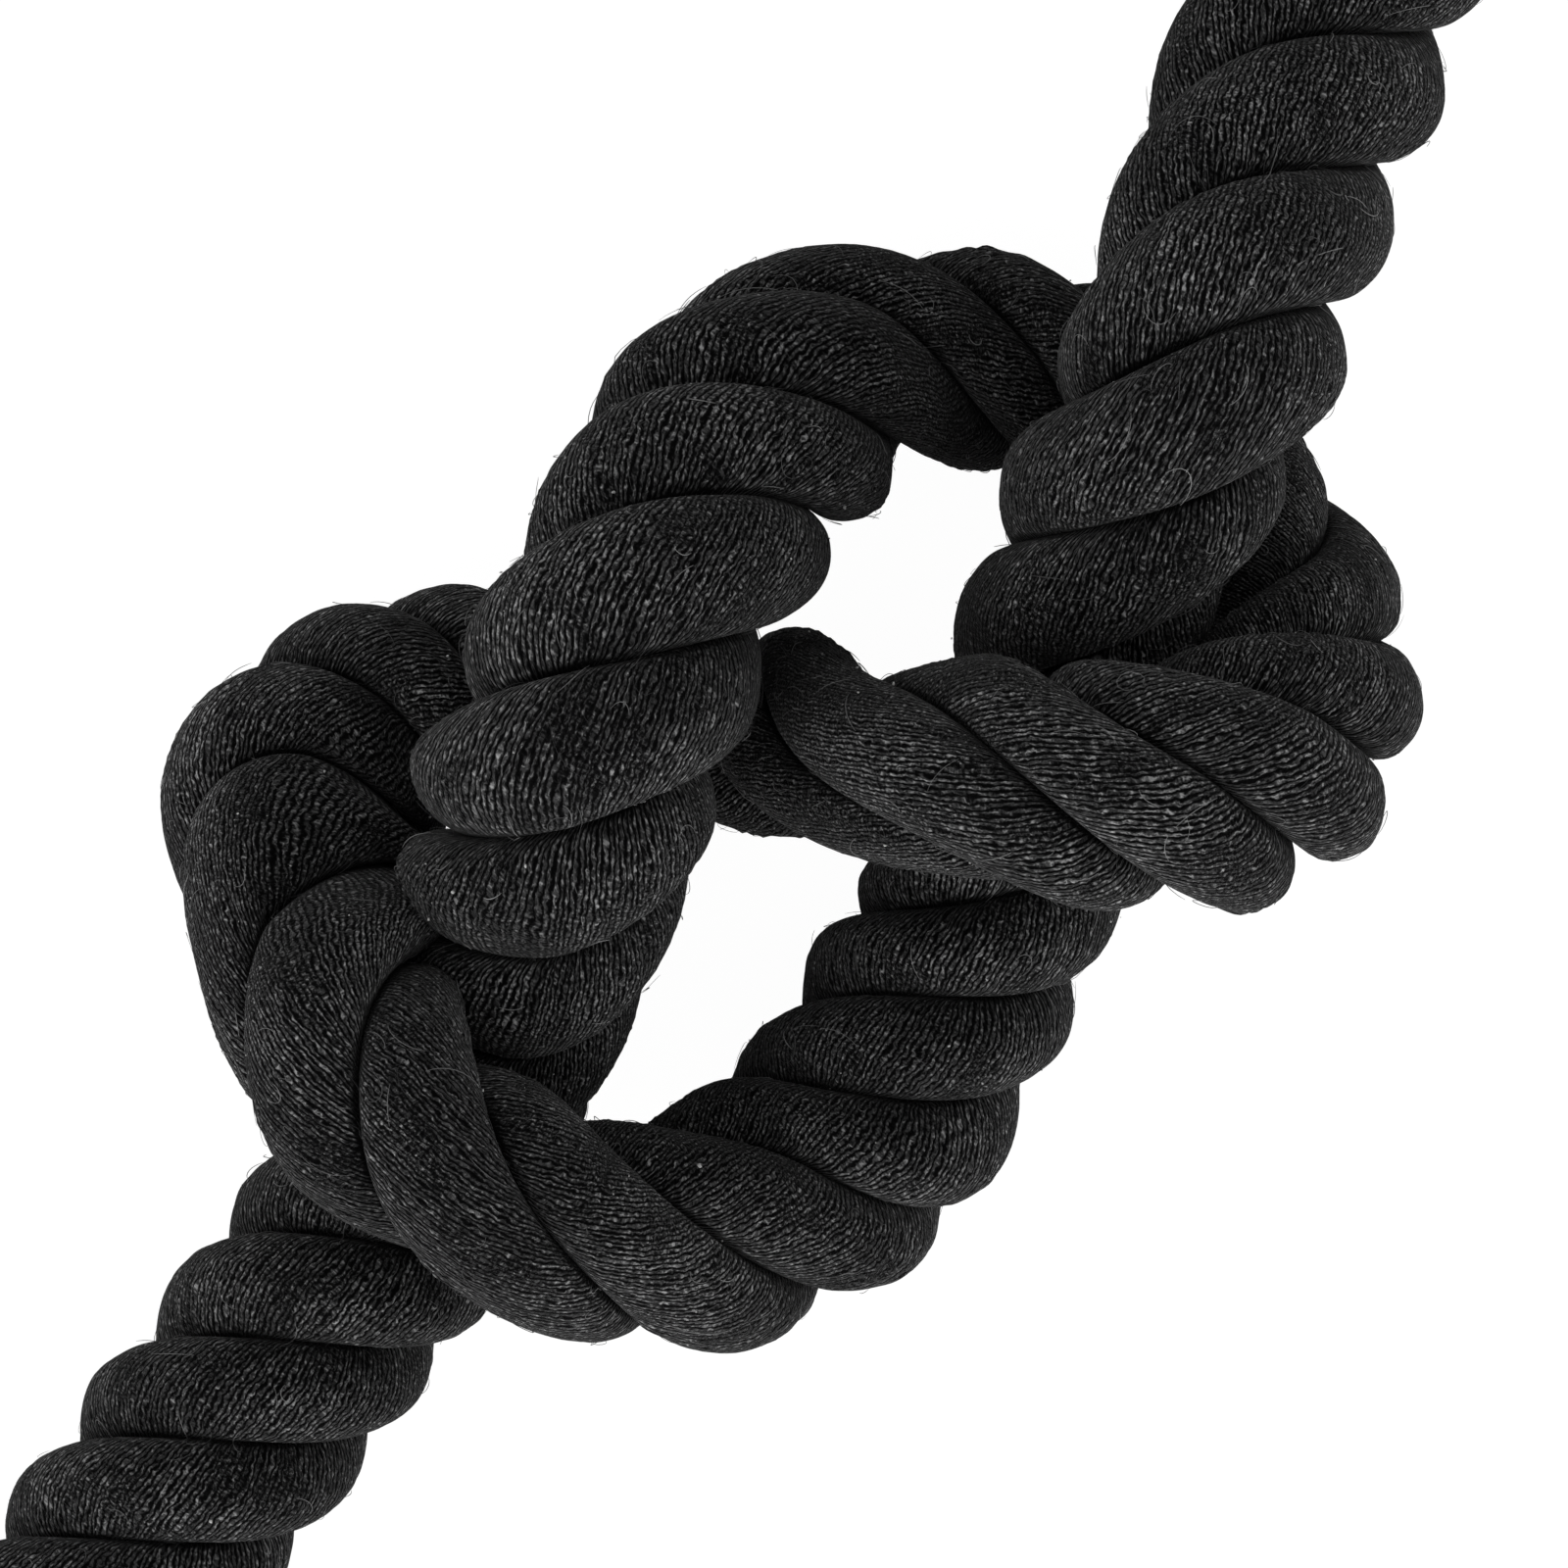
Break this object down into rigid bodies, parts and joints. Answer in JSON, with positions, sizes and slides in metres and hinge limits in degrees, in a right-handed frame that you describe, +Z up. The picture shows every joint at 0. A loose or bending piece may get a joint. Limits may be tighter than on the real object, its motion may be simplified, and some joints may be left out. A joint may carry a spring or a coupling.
{
  "type": "cotton gym rope",
  "caption": "Thick laid cotton gym rope, its tail in an open figure-eight knot and the rest gathered in a strapped hank, with moulded caps on its ends.",
  "frame": {"origin": "on the floor, below the middle of the whole rope as it lies", "axes": "+Z up; +Y along the hank, from the knotted tail towards the hank's far fold; +X to the right of that"},
  "size_m": [0.2654, 0.9041, 0.0778],
  "materials": {
    "cotton": "matt charcoal cotton yarn, softly fuzzy",
    "strap_webbing": "matt black woven webbing",
    "cap_rubber": "satin black rubber"
  },
  "bodies": {
    "root": {"rope_strand_1": "cotton", "rope_strand_2": "cotton", "rope_strand_3": "cotton", "hank": "cotton", "hank_strap": "strap_webbing", "tail_end_cap": "cap_rubber", "standing_end_cap": "cap_rubber"}
  },
  "joints": []
}
